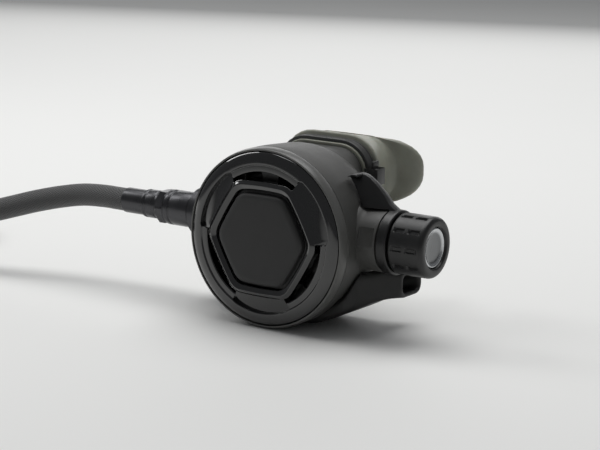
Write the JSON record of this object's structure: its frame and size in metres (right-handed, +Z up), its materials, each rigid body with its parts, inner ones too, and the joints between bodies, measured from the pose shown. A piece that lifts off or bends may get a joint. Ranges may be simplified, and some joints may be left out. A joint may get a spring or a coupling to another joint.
{
  "type": "scuba second stage regulator",
  "caption": "Demand regulator with a round case, hexagonal purge button, adjusting knob, pre-dive lever, exhaust tee, mouthpiece and a coiled low-pressure hose.",
  "frame": {"origin": "on the floor under the middle of the regulator, its hose left out", "axes": "+X along the valve towards the knob, +Y from the purge button to the mouthpiece, +Z up"},
  "size_m": [0.4031, 0.1342, 0.08],
  "materials": {
    "case_black": "fine matte moulding",
    "cover_grey": "satin moulding",
    "gloss_black": "high gloss",
    "button_grey": "soft matte",
    "lever_black": "satin",
    "tee_rubber": "matte",
    "mouth_silicone": "matte silicone",
    "soft_silicone": "translucent silicone",
    "black_rubber": "matte",
    "hose_braid": "braided cover",
    "tie_nylon": "nylon",
    "plated_brass": "satin plating",
    "black_plated": "black plating",
    "stainless": "brushed",
    "bright_disc": "turned and clear coated",
    "white_acetal": "machined acetal"
  },
  "bodies": {
    "regulator": {"case": "case_black", "front_cover": "cover_grey", "bezel": "gloss_black", "button_spring": "stainless", "slip_ring": "white_acetal", "diaphragm": "soft_silicone", "valve_barrel": "plated_brass", "barrel_oring": "black_rubber", "orifice": "plated_brass", "orifice_oring": "black_rubber", "poppet_spring": "stainless", "packing_nut": "plated_brass", "spindle_oring": "black_rubber", "barrel_nut": "plated_brass", "exhaust_valve": "soft_silicone", "exhaust_tee": "tee_rubber", "mouthpiece": "mouth_silicone", "mouthpiece_tie": "tie_nylon", "swivel_nut": "black_plated", "hose_stem": "black_plated", "inlet_oring": "black_rubber", "near_ferrule": "black_plated", "hose": "hose_braid", "hose_coil": "hose_braid", "coil_tie": "tie_nylon", "far_ferrule": "black_plated", "male_connector": "plated_brass", "connector_oring": "black_rubber"},
    "button": {"purge_button": "button_grey"},
    "disc": {"diaphragm_disc": "stainless"},
    "lever": {"demand_lever": "stainless"},
    "poppet": {"poppet": "white_acetal", "poppet_seat": "black_rubber"},
    "pad": {"spring_pad": "white_acetal"},
    "knob": {"knob": "lever_black", "knob_cap": "bright_disc", "knob_screw": "stainless", "adjust_spindle": "plated_brass"},
    "pre_dive_lever": {"venturi_lever": "lever_black", "flow_vane": "lever_black"}
  },
  "joints": [
    {"name": "purge_press", "type": "slide", "parent": "regulator", "child": "button", "axis": [0, 1, 0], "range_m": [0, 0.004], "stiffness_N_per_m": 500, "springref_m": -0.004, "deforming": ["button_spring"]},
    {"name": "disc_travel", "type": "slide", "parent": "regulator", "child": "disc", "axis": [0, 1, 0], "range_m": [0, 0.004], "deforming": ["diaphragm"]},
    {"name": "lever_rock", "type": "hinge", "parent": "regulator", "child": "lever", "pos_m": [0.0131, -0.02786, 0.0412], "axis": [0, 0, 1], "range_deg": [-12.75, 0]},
    {"name": "poppet_lift", "type": "slide", "parent": "regulator", "child": "poppet", "axis": [1, 0, 0], "range_m": [0, 0.00196], "deforming": ["poppet_spring"]},
    {"name": "knob_turn", "type": "hinge", "parent": "regulator", "child": "knob", "pos_m": [0.0611, -0.01906, 0.0412], "axis": [-1, 0, 0], "range_deg": [0, 540]},
    {"name": "pad_travel", "type": "slide", "parent": "regulator", "child": "pad", "axis": [-1, 0, 0], "range_m": [0, 0.0019], "deforming": ["poppet_spring"]},
    {"name": "pre_dive_turn", "type": "hinge", "parent": "regulator", "child": "pre_dive_lever", "pos_m": [0.0511, -0.01906, 0.0412], "axis": [1, 0, 0], "range_deg": [-40, 0]}
  ],
  "couplings": [
    {"joint": "disc_travel", "follows": "purge_press", "ratio": 1},
    {"joint": "lever_rock", "follows": "purge_press", "rad_per_m": -55.5},
    {"joint": "poppet_lift", "follows": "purge_press", "ratio": 0.49},
    {"joint": "pad_travel", "follows": "knob_turn", "m_per_rad": 0.000199}
  ]
}
